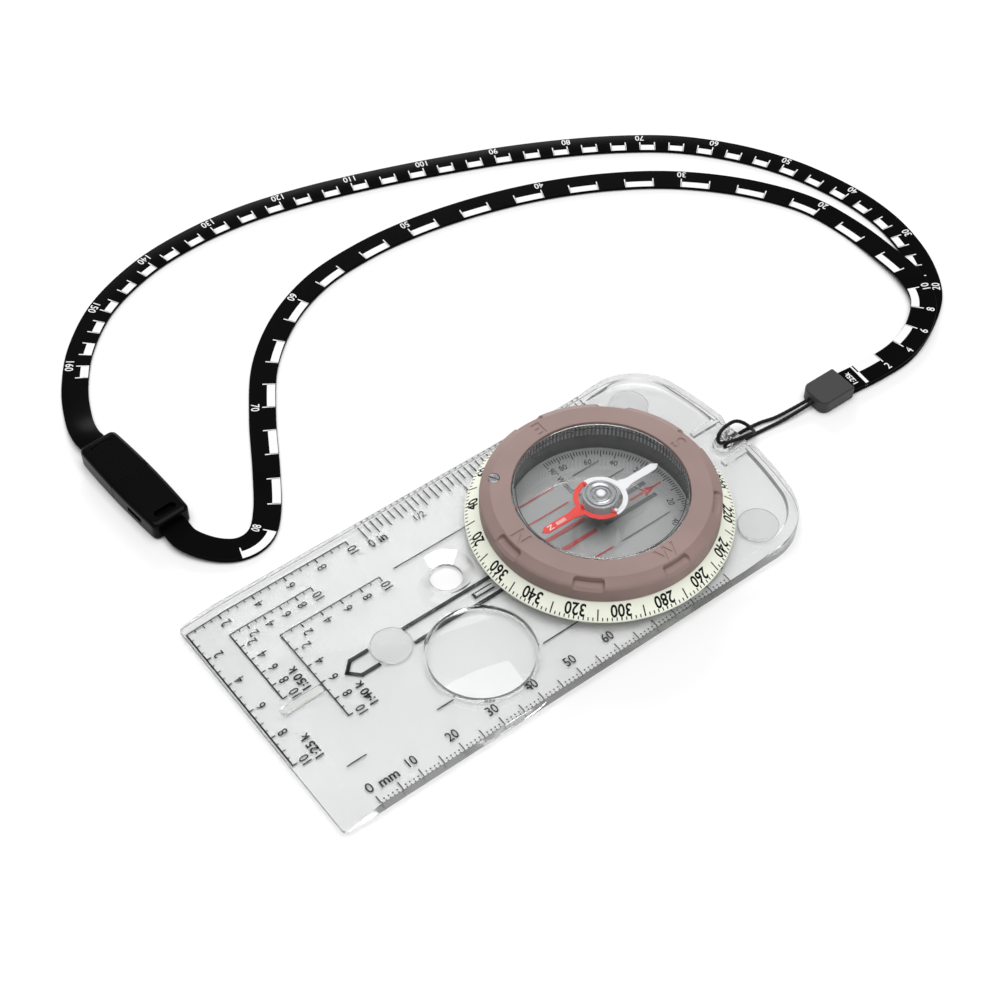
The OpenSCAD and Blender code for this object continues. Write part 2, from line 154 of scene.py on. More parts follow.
def lathe(name, profile, centre=AXIS, segments=256, radius=0.0):
    """A solid of revolution from a closed (radius, height) outline, its corners rounded."""
    if radius:
        profile = fillet(profile, radius)
    rings, verts = [], []
    for r, z in profile:
        if r < 1e-6:
            rings.append([len(verts)] * segments)
            verts.append((centre[0], centre[1], z))
        else:
            rings.append(list(range(len(verts), len(verts) + segments)))
            for k in range(segments):
                a = TAU * k / segments
                verts.append((centre[0] + r * math.cos(a), centre[1] + r * math.sin(a), z))
    faces = []
    for i, lo in enumerate(rings):
        hi = rings[(i + 1) % len(rings)]
        if lo[0] == lo[1] and hi[0] == hi[1]:
            continue
        for k in range(segments):
            j = (k + 1) % segments
            quad = [lo[k], lo[j], hi[j], hi[k]]
            faces.append([q for m, q in enumerate(quad) if q not in quad[:m]])
    return make(name, verts, faces)


def prism(name, outline, z0, z1):
    """An outline extruded from z0 to z1."""
    n = len(outline)
    verts = [(x, y, z0) for x, y in outline] + [(x, y, z1) for x, y in outline]
    faces = [list(range(n))[::-1], list(range(n, 2 * n))]
    faces += [[k, (k + 1) % n, n + (k + 1) % n, n + k] for k in range(n)]
    return make(name, verts, faces)


def box(name, x0, x1, y0, y1, z0, z1):
    return prism(name, [(x0, y0), (x1, y0), (x1, y1), (x0, y1)], z0, z1)


def place_mesh(obj, centre=(0, 0, 0), turn=0.0):
    """Turns a mesh about Z and moves it, in millimetres."""
    c, s = math.cos(turn), math.sin(turn)
    for v in obj.data.vertices:
        x, y = v.co.x, v.co.y
        v.co.x = c * x - s * y + centre[0] * MM
        v.co.y = s * x + c * y + centre[1] * MM
        v.co.z += centre[2] * MM
    return obj


def polar(r, degrees):
    a = math.radians(degrees)
    return r * math.cos(a), r * math.sin(a)


def arc(cx, cy, r, a0, a1, steps):
    """Points on an arc, angles in degrees, both ends included."""
    angles = [math.radians(a0 + (a1 - a0) * k / steps) for k in range(steps + 1)]
    return [(cx + r * math.cos(a), cy + r * math.sin(a)) for a in angles]


def rect_outline(w, l, r, steps=6):
    """A rounded rectangle centred on the origin."""
    x, y = w / 2 - r, l / 2 - r
    return (arc(x, y, r, 0, 90, steps) + arc(-x, y, r, 90, 180, steps)
            + arc(-x, -y, r, 180, 270, steps) + arc(x, -y, r, 270, 360, steps))


def loft(name, rings, angle=SHARP):
    """Closed rings of equal length joined one to the next, capped at both ends."""
    n = len(rings[0])
    verts = [p for ring in rings for p in ring]
    faces = [list(range(n))[::-1], list(range((len(rings) - 1) * n, len(rings) * n))]
    for i in range(len(rings) - 1):
        for k in range(n):
            j = (k + 1) % n
            faces.append([i * n + k, i * n + j, (i + 1) * n + j, (i + 1) * n + k])
    return make(name, verts, faces, angle)


# ---- routes and sweeps
def distances(path):
    """The way along the path to each of its points."""
    return np.concatenate([[0], np.cumsum(np.linalg.norm(np.diff(path, axis=0), axis=1))])


def smooth_route(points, step):
    """A smooth curve through points, with one point about every step millimetres."""
    p = np.array(points, float)
    p = np.vstack([2 * p[0] - p[1], p, 2 * p[-1] - p[-2]])
    fine = 16    # points between two of the given ones, before they are spaced evenly
    out = []
    t = np.linspace(0, 1, fine, endpoint=False)[:, None]
    for p0, p1, p2, p3 in zip(p, p[1:], p[2:], p[3:]):
        out.append(0.5 * (2 * p1 + (p2 - p0) * t + (2 * p0 - 5 * p1 + 4 * p2 - p3) * t ** 2
                          + (3 * p1 - p0 - 3 * p2 + p3) * t ** 3))
    q = np.vstack(out + [p[-2][None]])
    s = distances(q)
    u = np.linspace(0, s[-1], max(2, round(s[-1] / step)) + 1)
    return np.column_stack([np.interp(u, s, q[:, k]) for k in range(3)])


def tangents(path):
    """Unit vectors along the path, one for each point."""
    t = np.gradient(path, axis=0)
    return t / np.linalg.norm(t, axis=1)[:, None]


def level_sides(path):
    """Level vectors across the path, to its right."""
    side = np.cross(tangents(path), (0, 0, 1))
    return side / np.linalg.norm(side, axis=1)[:, None]


def carried_sides(path, start):
    """Side vectors carried along the path without twist."""
    out, side = [], np.array(start, float)
    for t in tangents(path):
        side = side - t * (side @ t)
        side /= np.linalg.norm(side)
        out.append(side)
    return np.array(out)


def sweep(name, path, sides, section, angle):
    """A solid along the path. section(i) gives its (across, up) pairs at the path's point i."""
    ups = np.cross(sides, tangents(path))
    rings = [[tuple(p + s * a + u * b) for a, b in section(i)]
             for i, (p, s, u) in enumerate(zip(path, sides, ups))]
    return loft(name, rings, angle)


# The lanyard lies as photographed. The routes repeat those of the CAD, in millimetres.
STRAP_W, STRAP_T, LOOP_D = 6.2, 0.9, 0.9
TABLE_Z = 0.55


def on_table(route):
    """The route's points, those without a height at the height of a strap on the table."""
    return [(*p, TABLE_Z)[:3] for p in route]


OUTER_ROUTE = on_table([
    (-2.2, -94.5), (-3, -104), (-2.7, -113), (0.5, -122), (6, -131), (12.5, -136.2), (21, -140),
    (32, -142.2), (44, -141.7), (57, -138.5), (68, -133.6), (78, -127), (87, -118.8), (95, -108.3),
    (102, -96.8), (108.5, -84.2), (114.2, -71.2), (119.5, -57.7), (124.2, -44.2), (128.2, -30.5),
    (131, -16.5), (131.7, -2), (129.8, 13), (124, 27.8), (115, 39), (105, 46.4), (96, 50.6, 0.8),
    (89.5, 52.3, 1.7), (84.5, 52, 1.9)])
INNER_ROUTE = on_table([
    (-2.2, -94.5, 1.5), (-3, -104, 1.5), (-2.6, -113, 1.5), (0.3, -121.5, 1.5), (6, -128.8, 1.5),
    (14, -132.2, 1.5), (24, -133.3, 1), (36, -133.3), (48, -131), (59, -125.3), (69, -117.5),
    (78, -107.8), (85.2, -97), (91, -85.7), (95.6, -73.8), (99.2, -60.7), (101.5, -47),
    (102.1, -33), (100.2, -18), (94.2, -4.3), (84.2, 7.7), (71, 17), (57, 25.1), (47.2, 31.2),
    (42, 36.2), (41.3, 41.6, 0.6), (44.3, 46.4, 1), (49.7, 50, 1.7), (54.7, 50.3, 1.9)])
LOOP_ROUTE = on_table([
    (-1.2, -84.9, 1.6), (-0.8, -80, 1.2), (-0.2, -75.5, 0.8), (0.9, -71.5, 0.6), (1.3, -67),
    (1.2, -62.6), (1.2, -60.4, 1.1), (1.3, -59.4, 2.4), (1.7, -59.8, 3.9), (2.4, -62, 4.2),
    (2.6, -65.2, 3.9), (1.9, -67.4, 2.6), (0, -68.3, 1.7), (-1.7, -67.4, 2.6), (-2.3, -65.2, 3.9),
    (-2, -62, 4.2), (-1.3, -59.8, 3.9), (-0.9, -59.4, 2.4), (-0.8, -60.4, 1.1), (-0.8, -62.6),
    (-0.9, -67), (-1.3, -71.5, 0.6), (-1.8, -75.5, 0.8), (-2.2, -80, 1.2), (-2.4, -84.9, 1.6)])
inner_path = smooth_route(INNER_ROUTE, 1.0)
outer_path = smooth_route(OUTER_ROUTE, 1.0)
loop_path = smooth_route(LOOP_ROUTE, 0.35)


def strap_section(_):
    """Section of a strap, the same all along it."""
    return rect_outline(STRAP_W, STRAP_T, 0.3, 3)


def braid(i):
    """Section of the loop cord, whose strands stand out of it by a few hundredths."""
    points, strands, lay, relief = 20, 5, 1.05, 0.05
    pairs = []
    for k in range(points):
        a = TAU * k / points
        wave = math.sin(strands * a + i * lay) * math.sin(strands * a - i * lay)
        r = LOOP_D / 2 - relief + relief * wave
        pairs.append((r * math.cos(a), r * math.sin(a)))
    return pairs


strap_inner = sweep("strap_inner_band", inner_path, level_sides(inner_path), strap_section, 50)
strap_outer = sweep("strap_outer_band", outer_path, level_sides(outer_path), strap_section, 50)
loop_sides = carried_sides(loop_path, (1, 0, 0))
lanyard_loop = sweep("lanyard_loop_cord", loop_path, loop_sides, braid, 180)


# ---- printing
GLYPHS = {}          # outlines of texts already made
CAPITAL = 0.729      # height of a capital in Blender's own font
BOLD_EDGE, PLAIN_EDGE = 0.03, 0.01    # how far an outline moves out, capitals being 1 tall


def merge_points(points, faces):
    """Points that coincide made one, and the faces renumbered to match."""
    keep, lookup = {}, []
    for p in points:
        key = (round(float(p[0]), 5), round(float(p[1]), 5))
        lookup.append(keep.setdefault(key, len(keep)))
    return list(keep), [[lookup[i] for i in f] for f in faces]


def face_edges(face):
    return list(zip(face, face[1:] + face[:1]))


def is_anticlockwise(pts, face):
    return sum(pts[a][0] * pts[b][1] - pts[b][0] * pts[a][1] for a, b in face_edges(face)) > 0


def embolden(points, faces, width):
    """The flat faces with their outline moved outwards by width."""
    pts, faces = merge_points(points, faces)
    pts = np.array(pts)
    edges = set()
    for f in faces:
        loop = face_edges(f)
        edges.update(loop if is_anticlockwise(pts, f) else [(b, a) for a, b in loop])
    normals = {}
    for a, b in edges:
        if a != b and (b, a) not in edges:
            t = (pts[b] - pts[a]) / np.linalg.norm(pts[b] - pts[a])
            for i in (a, b):
                normals.setdefault(i, []).append(np.array((t[1], -t[0])))
    moved = pts.copy()
    for i, n in normals.items():
        total = sum(n)
        moved[i] += width * total / max(float(np.dot(total, n[0])), 0.5)
    return moved, faces


def glyphs(text, bold):
    """The text's flat outline mesh: capital height 1, centred on the origin, with its faces."""
    if (text, bold) not in GLYPHS:
        curve = bpy.data.curves.new("text", "FONT")
        curve.body = text
        curve.align_x = "CENTER"
        curve.resolution_u = 3
        obj = link(bpy.data.objects.new("text", curve))
        dg = bpy.context.evaluated_depsgraph_get()
        mesh = bpy.data.meshes.new_from_object(obj.evaluated_get(dg))
        v = np.array([tuple(p.co)[:2] for p in mesh.vertices]) / CAPITAL
        f = [list(p.vertices) for p in mesh.polygons]
        bpy.data.objects.remove(obj)
        v[:, 0] -= (v[:, 0].min() + v[:, 0].max()) / 2
        v[:, 1] -= 0.5
        GLYPHS[text, bold] = embolden(v, f, BOLD_EDGE if bold else PLAIN_EDGE)
    return GLYPHS[text, bold]


class Ink:
    """Thin closed slabs of print. place(u, v, h) lays them on a surface, with h 0 at the bottom
    of the slab and 1 at its top."""

    def __init__(self, place):
        self.place, self.verts, self.faces = place, [], []

    def slab(self, points, faces):
        """Flat faces given thickness, with walls along their open edges."""
        pts, faces = merge_points(points, faces)
        n, base = len(pts), len(self.verts)
        self.verts += [self.place(u, v, h) for h in (0, 1) for u, v in pts]
        edges = {}
        for f in faces:
            if len(set(f)) < len(f):
                continue
            f = f if is_anticlockwise(pts, f) else f[::-1]
            self.faces.append([base + n + i for i in f])
            self.faces.append([base + i for i in f[::-1]])
            edges.update(dict.fromkeys(face_edges(f)))
        for a, b in edges:
            if (b, a) not in edges:
                self.faces.append([base + a, base + b, base + n + b, base + n + a])

    def poly(self, points):
        self.slab(points, [list(range(len(points)))])

    def bar(self, u0, v0, u1, v1, w, parts=1):
        """A straight line of width w from one point to another, in parts lengths."""
        d = np.array((u1 - u0, v1 - v0), float)
        d /= np.linalg.norm(d)
        s = np.array((-d[1], d[0])) * w / 2
        a, b = np.array((u0, v0), float), np.array((u1, v1), float)
        line = [a + (b - a) * k / parts for k in range(parts + 1)]
        pts = [p - s for p in line] + [p + s for p in line]
        faces = [[k, k + 1, parts + 2 + k, parts + 1 + k] for k in range(parts)]
        self.slab(pts, faces)

    def text(self, text, u, v, size, turn=0.0, stretch=1.0, squeeze=1.0, bold=False):
        """Text centred on (u, v), its capitals size tall, turned in radians."""
        pts, faces = glyphs(text, bold)
        c, s = math.cos(turn), math.sin(turn)
        x, y = pts[:, 0] * size * squeeze, pts[:, 1] * size * stretch
        self.slab(np.column_stack([u + c * x - s * y, v + s * x + c * y]), faces)

    def make(self, name, material, body, slot):
        """The print as one piece. It rides on body, unless that is None."""
        obj = make(name, self.verts, self.faces, 30)
        obj.data.materials.append(material)
        if body:
            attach(obj, body)
        return obj


def flat(z, t, centre=(0, 0)):
    """Places print on a level plane. It grows up from z by t."""
    return lambda u, v, h: (centre[0] + u, centre[1] + v, z + t * h)


def along(path, top):
    """Places print on a strap: u runs along it and v across it, to its left."""
    s, sides = distances(path), level_sides(path)
    ups = np.cross(sides, tangents(path))

    def place(u, v, h):
        p, a, b = (np.array([np.interp(u, s, q[:, k]) for k in range(3)])
                   for q in (path, sides, ups))
        return tuple(p - a * v + b * (top + INK_T * h))
    return place


# ---- materials
def grey(value):
    return value, value, value


def shader(name):
    """A new material with its node tree, its main shader and its output."""
    m = bpy.data.materials.new(name)
    m.use_nodes = True
    nt = m.node_tree
    bsdf = nt.nodes["Principled BSDF"]
    return m, nt, bsdf, nt.nodes["Material Output"]


def put(node, values):
    """Constants set on a node's sockets by name."""
    for key, value in values.items():
        node.inputs[key].default_value = value


def coords(nt, scale=(1, 1, 1)):
    """The object's own coordinates in metres, scaled."""
    tc = nt.nodes.new("ShaderNodeTexCoord")
    mp = nt.nodes.new("ShaderNodeMapping")
    put(mp, {"Scale": scale})
    nt.links.new(tc.outputs["Object"], mp.inputs["Vector"])
    return mp.outputs["Vector"]


def noise(nt, vector, scale, detail=4, rough=0.55):
    n = nt.nodes.new("ShaderNodeTexNoise")
    put(n, {"Scale": scale, "Detail": detail, "Roughness": rough})
    nt.links.new(vector, n.inputs["Vector"])
    return n.outputs["Fac"]


def spread(nt, value, lo, hi, src=(0.3, 0.7)):
    """The value's range src stretched to run from lo to hi."""
    r = nt.nodes.new("ShaderNodeMapRange")
    put(r, {"From Min": src[0], "From Max": src[1], "To Min": lo, "To Max": hi})
    nt.links.new(value, r.inputs["Value"])
    return r.outputs["Result"]


def tone(nt, bsdf, fac, dark, light):
    """Base colour that goes from dark to light with fac."""
    m = nt.nodes.new("ShaderNodeMix")
    m.data_type = "RGBA"
    nt.links.new(fac, m.inputs["Factor"])
    put(m, {6: (*dark, 1), 7: (*light, 1)})
    nt.links.new(m.outputs[2], bsdf.inputs["Base Color"])


def bump(nt, bsdf, height, distance, strength=0.5):
    """Relief from a height, its depth in millimetres."""
    b = nt.nodes.new("ShaderNodeBump")
    put(b, {"Distance": distance * MM, "Strength": strength})
    nt.links.new(height, b.inputs["Height"])
    nt.links.new(b.outputs["Normal"], bsdf.inputs["Normal"])


def solid(name, light, dark, rough, grain, depth, metallic=0.0, stretch=(1, 1, 1), coat=0.0,
          sheen=0.0, painted_glow=None, specular=0.5):
    """Moulded or metal surface: a fine grain in height and gloss, and a soft mottle in colour."""
    m, nt, bsdf, _ = shader(name)
    v = coords(nt, stretch)
    fine = noise(nt, v, grain, 6)
    mottle = noise(nt, v, 60, 3)
    tone(nt, bsdf, spread(nt, mottle, 0, 1), dark, light)
    nt.links.new(spread(nt, fine, rough[0], rough[1]), bsdf.inputs["Roughness"])
    put(bsdf, {"Metallic": metallic, "Coat Weight": coat, "Coat Roughness": 0.15,
               "Sheen Weight": sheen, "Specular IOR Level": specular})
    # An optional painted glow: emission that brightens the surface though it is no lamp.
    if painted_glow:
        put(bsdf, {"Emission Color": (*painted_glow[0], 1), "Emission Strength": painted_glow[1]})
    bump(nt, bsdf, fine, depth)
    return m


def clear(name, tint, ior=1.49, rough=(0.0, 0.03), shade=None, solid_share=1.0):
    """Clear moulding, which bends what is behind it. With shade, lamp light goes straight through
    it in that colour. A solid_share below 1 also shows a little of what is straight behind."""
    m, nt, bsdf, out = shader(name)
    v = coords(nt)
    smear = noise(nt, v, 90, 5)
    haze = noise(nt, v, 35, 3)
    put(bsdf, {"Transmission Weight": 1, "IOR": ior, "Alpha": solid_share})
    tone(nt, bsdf, spread(nt, haze, 0, 1), tint, tuple(c * 0.985 for c in tint))
    nt.links.new(spread(nt, smear, rough[0], rough[1], (0.45, 0.75)), bsdf.inputs["Roughness"])
    if shade is None:
        return m
    clearer = nt.nodes.new("ShaderNodeBsdfTransparent")
    put(clearer, {"Color": (*shade, 1)})
    path = nt.nodes.new("ShaderNodeLightPath")
    mix = nt.nodes.new("ShaderNodeMixShader")
    nt.links.new(path.outputs["Is Shadow Ray"], mix.inputs["Fac"])
    nt.links.new(bsdf.outputs["BSDF"], mix.inputs[1])
    nt.links.new(clearer.outputs["BSDF"], mix.inputs[2])
    nt.links.new(mix.outputs["Shader"], out.inputs["Surface"])
    return m


def webbing(name, light, dark):
    """Coated webbing: a fine cross weave that shows as a faint relief."""
    m, nt, bsdf, _ = shader(name)
    v = coords(nt)
    waves = []
    for axis in ("X", "Y"):
        w = nt.nodes.new("ShaderNodeTexWave")
        w.bands_direction = axis
        put(w, {"Scale": 700, "Distortion": 0.6})
        nt.links.new(v, w.inputs["Vector"])
        waves.append(w.outputs["Fac"])
    weave = nt.nodes.new("ShaderNodeMath")
    weave.operation = "MULTIPLY"
    nt.links.new(waves[0], weave.inputs[0])
    nt.links.new(waves[1], weave.inputs[1])
    tone(nt, bsdf, spread(nt, noise(nt, v, 50, 4), 0, 1), dark, light)
    nt.links.new(spread(nt, weave.outputs[0], 0.24, 0.36, (0, 1)), bsdf.inputs["Roughness"])
    put(bsdf, {"Specular IOR Level": 0.02})
    bump(nt, bsdf, weave.outputs[0], 0.02, 0.2)
    return m


ACRYLIC = clear("clear_acrylic", (0.955, 0.96, 0.96), shade=grey(0.27), solid_share=0.93)
CAPSULE = clear("capsule_acrylic", (0.97, 0.975, 0.975), rough=(0.0, 0.01), shade=grey(0.95))
RUBY = clear("ruby", (0.75, 0.03, 0.08), 1.76, (0.0, 0.02))
SILICONE = solid("silicone", grey(0.80), grey(0.76), (0.4, 0.5), 2000, 0.01)
PALE = solid("luminous_pale", (0.84, 0.85, 0.82), (0.80, 0.81, 0.78), (0.4, 0.5), 2000, 0.01)
TAUPE = solid("taupe_plastic", (0.30, 0.205, 0.185), (0.255, 0.172, 0.156), (0.42, 0.55),
              2600, 0.02)
# The dial ring's cream carries a faint green painted glow.
CREAM_PAINTED_GLOW = solid("cream_painted_glow", (0.90, 0.92, 0.80), (0.86, 0.88, 0.76), (0.40, 0.52),
              1800, 0.015, painted_glow=((0.8, 0.95, 0.7), 0.03))
BLACK = solid("black_plastic", grey(0.003), grey(0.002), (0.14, 0.24), 2200, 0.005, specular=0.06)
DARK = solid("dark_plastic", (0.022, 0.022, 0.023), (0.016, 0.016, 0.017), (0.35, 0.5),
             2200, 0.01)
GEAR = solid("gear_plastic", (0.50, 0.50, 0.51), (0.42, 0.42, 0.43), (0.2, 0.32), 2200, 0.01)
RUBBER = solid("rubber", grey(0.022), grey(0.016), (0.5, 0.65), 3000, 0.02, sheen=0.08)
# The scale disc's dark grey is painted shade: it stands for the shade in the capsule's deep well,
# the disc itself being paler.
DISC_PAINTED_SHADE = solid("scale_disc_painted_shade", grey(0.31), grey(0.285), (0.42, 0.55), 3200, 0.01)
STEEL = solid("steel", (0.42, 0.42, 0.43), (0.34, 0.34, 0.35), (0.22, 0.36), 2400, 0.01,
              metallic=1.0, stretch=(1, 1, 8))
BRASS = solid("brass", (0.72, 0.52, 0.22), (0.62, 0.43, 0.18), (0.25, 0.38), 2400, 0.01,
              metallic=1.0)
HUB = solid("hub_plastic", (0.42, 0.43, 0.44), (0.36, 0.37, 0.38), (0.06, 0.12), 1500, 0.006,
            metallic=0.55, coat=1.0)
RED = solid("red_enamel", (0.55, 0.018, 0.008), (0.48, 0.014, 0.007), (0.28, 0.4), 1800, 0.008)
WHITE = solid("white_enamel", (0.58, 0.58, 0.59), (0.52, 0.52, 0.53), (0.3, 0.42), 1800, 0.008)
RED_INK = solid("red_ink", (0.42, 0.03, 0.025), (0.36, 0.025, 0.02), (0.4, 0.55), 3000, 0.005)
WHITE_INK = solid("white_ink", grey(0.85), grey(0.80), (0.5, 0.65), 3000, 0.005)
BLACK_INK = solid("black_ink", (0.006, 0.006, 0.007), (0.012, 0.012, 0.013), (0.4, 0.55),
                  3000, 0.005, specular=0.1)
GREY_INK = solid("grey_ink", (0.10, 0.10, 0.105), (0.08, 0.08, 0.085), (0.4, 0.55), 3000, 0.005)
STRAP = webbing("strap_webbing", (0.0030, 0.0030, 0.0034), (0.002, 0.002, 0.0022))
CORD = solid("cord_fibre", (0.010, 0.010, 0.011), grey(0.006), (0.5, 0.7), 5200, 0.03,
             sheen=0.05, specular=0.15)


def piece(obj, body, material, slot, *nodes):
    """Gives a piece its material and body, and hides the CAD nodes that it stands for. The slot is
    not used.
    """
    even = obj.modifiers.new("even_shading", "WEIGHTED_NORMAL")
    even.keep_sharp = True
    obj.data.materials.clear()
    obj.data.materials.append(material)
    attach(obj, body)
    if nodes:
        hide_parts(*nodes)
    return obj


def turned(name, body, material, node, profile, **shape):
    """A lathe piece that stands for one CAD node."""
    piece(lathe(name, profile, **shape), body, material, node, node)


# ---- baseplate
PLATE_TOP, PLATE_HALF, PLATE_END = 3.4, 30.5, 64
LIP_RISE = 1.2
MAGNIFIER_AT, STENCIL_AT, CORD_HOLE_AT = (-13.4, 18.1), (7.9, 11.5), (0, -59.6)
FEET = (("foot_front", 0, 31.3), ("foot_rear_left", -22, -50.5), ("foot_rear_right", 22, -50.5))


def smoothstep(t):
    t = min(1.0, max(0.0, t))
    return t * t * (3 - 2 * t)


def plate_ring(inset, rise):
    """One closed ring of the plate's outline, drawn in by inset; rise(x, y) gives its height."""
    half, r = PLATE_HALF - inset, max(1 - inset, 0.05)
    end = PLATE_END - inset - r
    corner_x, corner_y, corner_r = 16.5, -48.19, 14 - inset
    meet = 257.46    # the angle at which a rear corner runs into the rear edge's wide arc
    side = [60, 50, 30, 10, -10, -25, -34, -37, -39, -41, -43, -45, -47]
    pts = arc(half - r, end, r, 0, 90, 5) + arc(-half + r, end, r, 90, 180, 5)
    pts += [(-half, y) for y in side]
    pts += arc(-corner_x, corner_y, corner_r, 180, meet, 28)
    pts += arc(0, 26, 90 - inset, meet, 540 - meet, 50)[1:-1]
    pts += arc(corner_x, corner_y, corner_r, 540 - meet, 360, 28)
    pts += [(half, y) for y in reversed(side)]
    return [(x, y, rise(x, y)) for x, y in pts]


def lip(x, y):
    """Height of the finger lip: it fades in along the sides and stops at the cord's channel."""
    return LIP_RISE * smoothstep((-38 - y) / 14) * smoothstep(abs(x) - 4.1)


def level(z):
    return lambda x, y: z


def top(share, drop=0):
    """Height of the plate's top with a share of the lip on it."""
    return lambda x, y: PLATE_TOP + share * lip(x, y) - drop


def build_plate():
    rings = [plate_ring(inset, rise) for inset, rise in (
        (0.22, level(0.4)), (0.06, level(0.46)), (0, level(0.62)), (0, top(1, 0.45)),
        (0.12, top(1, 0.16)), (0.4, top(1)), (2.1, top(1)), (2.35, top(0.93)), (2.45, top(0.8)),
        (2.65, top(0.12)), (2.95, top(0)))]
    plate = loft("baseplate_moulding", rings, 30)
    boolean(plate, [bevel(box("c", x - 0.8, x + 0.8, -62.5, -54.8, 2.4, 4.3), 0.2)
                    for x in (-5.3, 5.3)], "UNION")
    # Cuts: the dial's bore, the stencil hole, the magnifier's well, the lanyard's hole and channel,
    # the luminous strip's slot, the feet and the bevelled end
    cuts = [
        lathe("c", [(0, -1), (25.9, -1), (25.9, 0.4), (25.7, 0.6), (25.7, 1.95), (23.62, 1.95),
                    (23.5, 2.07), (23.5, 3.22), (23.7, 3.42), (23.7, 9), (0, 9)]),
        lathe("c", [(0, -1), (3.85, -1), (3.85, 0.4), (3.6, 0.65), (3.6, 1.4), (6.0, 3.38),
                    (6.14, 3.42), (6.14, 9), (0, 9)], STENCIL_AT, 96),
        lathe("c", [(0, 1.4), (11.7, 1.4), (11.9, 1.6), (11.9, 3.25), (12.05, 3.42), (12.05, 9),
                    (0, 9)], MAGNIFIER_AT, 160),
        lathe("c", [(0, -1), (2.3, -1), (2.3, 0.4), (2.05, 0.7), (2.0, 0.9), (2.0, 2.9),
                    (2.05, 3.1), (2.35, 3.42), (2.35, 9), (0, 9)], CORD_HOLE_AT, 64),
        box("c", -2.5, 2.5, -70, CORD_HOLE_AT[1], -1, 1.5),
        box("c", -0.95, 0.95, 48.3, 58.1, -1, 1.1)]
    for _, x, y in FEET:
        cuts.append(lathe("c", [(0, -1), (4.5, -1), (4.5, 1.2), (0, 1.2)], (x, y), 96))
    slope = (PLATE_TOP - 1.35) / 10
    wedge = make("c", [(x, y, z) for x in (-40, 40) for y, z in (
        (55, PLATE_TOP), (66, PLATE_TOP - 11 * slope), (66, 9), (55, 9))],
        [[0, 1, 2, 3], [7, 6, 5, 4], [0, 4, 5, 1], [1, 5, 6, 2], [2, 6, 7, 3], [3, 7, 4, 0]])
    boolean(plate, cuts + [wedge])
    lens_r, lens_rise, lens_top = 11.3, 1.2, 4.4
    ball = (lens_r ** 2 + lens_rise ** 2) / (2 * lens_rise)
    dome = [(r, lens_top - ball + math.sqrt(ball ** 2 - r ** 2))
            for r in np.linspace(lens_r, 0, 15)]
    lens = lathe("c", [(0, 1.2), (lens_r, 1.2)] + dome, MAGNIFIER_AT, 160)
    boolean(plate, [lens], "UNION")
    return finish_mesh(plate, 24)


piece(build_plate(), "plate", ACRYLIC, "baseplate", "baseplate")

for foot, x, y in FEET:
    turned(foot + "_pad", "plate", SILICONE, foot,
           [(0, 0), (4.1, 0), (4.42, 0.28), (4.42, 1.15), (0, 1.15)],
           centre=(x, y), segments=96, radius=0.12)

strip = prism("luminous_strip_bar", [(x, y + 53.2) for x, y in rect_outline(1.8, 9.6, 0.8)],
              0.42, 1.08)
piece(bevel(strip, 0.12), "plate", PALE, "luminous_strip", "luminous_strip")


# ---- printing on the plate
PRINT_LOW = 0.45          # the print lies in the plate, just over its underside
QUARTER = -math.pi / 2    # the turn of the numbers along the rulers
MM_ZERO, INCH_ZERO, INCH = 54.3, 18.9, 25.4


def romer(ink, x0, y0, unit, halves, drop):
    """A map scale: two arms from the corner (x0, y0) with ten units along each, and its numbers
    beside one arm and drop below the other."""
    line, beside, size = 0.26, 2.75, 2.25
    ink.bar(x0, y0, x0, y0 - 10 * unit - line / 2, line)
    ink.bar(x0 + line / 2, y0, x0 - 10 * unit - line / 2, y0, line + 0.05)
    for k in range(1, 21):
        if k % 2 and not halves:
            continue
        d = unit * k / 2
        tick = 1.25 if k % 4 == 0 else (1.05 if halves and k % 2 == 0 else 0.7)
        wide = 0.22 if k % 4 else 0.3
        ink.bar(x0, y0 - d, x0 - tick, y0 - d, wide)
        ink.bar(x0 - d, y0, x0 - d, y0 - 0.85 * tick, wide)
        if k % 4 == 0:
            ink.text(str(k // 2), x0 - beside, y0 - d, size, squeeze=0.8)
            ink.text(str(k // 2), x0 - d - 0.3, y0 - drop, size, squeeze=0.8)


def millimetre_ruler(ink, bold):
    """A dot each millimetre, a tick each five and a number each ten."""
    x = -25.0
    for k in range(0, 91):
        y = MM_ZERO - k
        if k % 5 == 0:
            ink.bar(-29.2, y, -27.4, y, 0.24)
        else:
            ink.bar(-28.95, y, -28.6, y, 0.3)
        if k % 10 == 0 and k:
            ink.text(str(k), x, y, 2.3, QUARTER, squeeze=0.85)
    ink.text("0", x, MM_ZERO, 2.3, QUARTER, squeeze=0.85)
    bold.text("mm", x - 0.4, 50.1, 2.2, QUARTER, bold=True)


def inch_ruler(ink, bold):
    """Ticks in sixteenths, and numbers at the half inches."""
    x = 24.9
    for k in range(0, 40):
        y = INCH_ZERO - INCH / 16 * k
        ink.bar(30.2, y, 26.3 if k % 2 == 0 else 27.4, y, 0.26)
    ink.text("0", x, INCH_ZERO, 2.3, QUARTER, squeeze=0.85)
    bold.text("in", x, 16.2, 2.2, QUARTER, bold=True)
    ink.text("1/2", x, INCH_ZERO - INCH / 2, 1.8, QUARTER)
    ink.text("1", x, INCH_ZERO - INCH, 2.3, QUARTER)


def travel_arrow(bold):
    """Direction of travel arrow, broken by the foot, and the bar at the dial."""
    for side in (-1, 1):
        x = side * 2.2
        bold.bar(x, 40.2, x, 35.6, 0.9)
        bold.bar(x, 27.0, x, 3.5, 0.9)
        bold.bar(side * 2.5, 39.95, side * -0.32, 42.75, 0.85)
    bold.bar(0, 10.2, 0, 5.0, 1.5)


